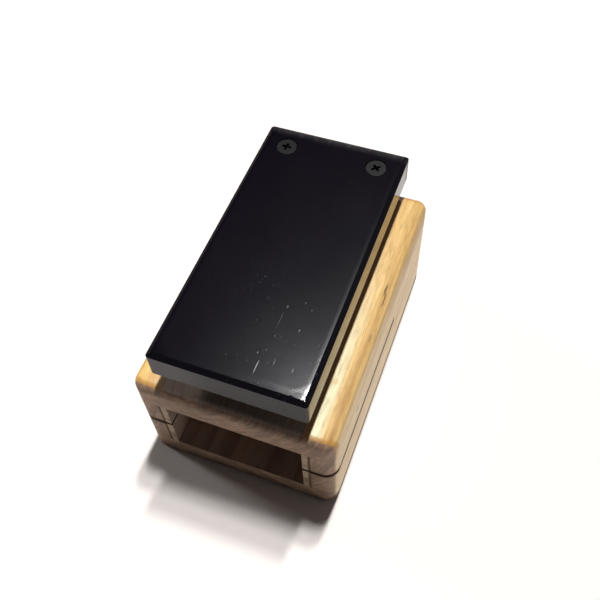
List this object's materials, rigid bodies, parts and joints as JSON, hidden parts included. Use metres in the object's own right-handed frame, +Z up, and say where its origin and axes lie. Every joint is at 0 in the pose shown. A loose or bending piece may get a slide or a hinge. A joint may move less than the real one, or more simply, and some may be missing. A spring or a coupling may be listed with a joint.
{
  "type": "hand clap block",
  "caption": "Hollow kerfed wooden percussion box with a black clapper plate that is screwed on rubber at its rear and claps on the box when struck.",
  "frame": {"origin": "on the table, under the middle of the box", "axes": "+Z up, -Y towards the open front of the chamber, +X to the right as seen from the front"},
  "size_m": [0.08, 0.121, 0.0745],
  "materials": {
    "ash": "oiled, satin",
    "rail_ash": "oiled, satin",
    "pale_strip": "oiled, satin",
    "black_rubber": "matt",
    "black_lacquer": "black lacquer, gloss",
    "black_steel": "blackened"
  },
  "bodies": {
    "box": {"top_board": "ash", "bottom_board": "ash", "left_side_rail": "rail_ash", "right_side_rail": "rail_ash", "left_lining_strip": "pale_strip", "right_lining_strip": "pale_strip", "rear_block": "rail_ash", "hinge_rubber": "black_rubber", "plate_screw_left": "black_steel", "plate_screw_right": "black_steel"},
    "clapper": {"strike_plate": "black_lacquer"}
  },
  "joints": [
    {"name": "clapper_hinge", "type": "hinge", "parent": "box", "child": "clapper", "pos_m": [0, 0.0495, 0.0732], "axis": [1, 0, 0], "range_deg": [0, 5.2], "stiffness_Nm_per_rad": 4.5, "springref_deg": -1.15, "deforming": ["hinge_rubber"]}
  ]
}
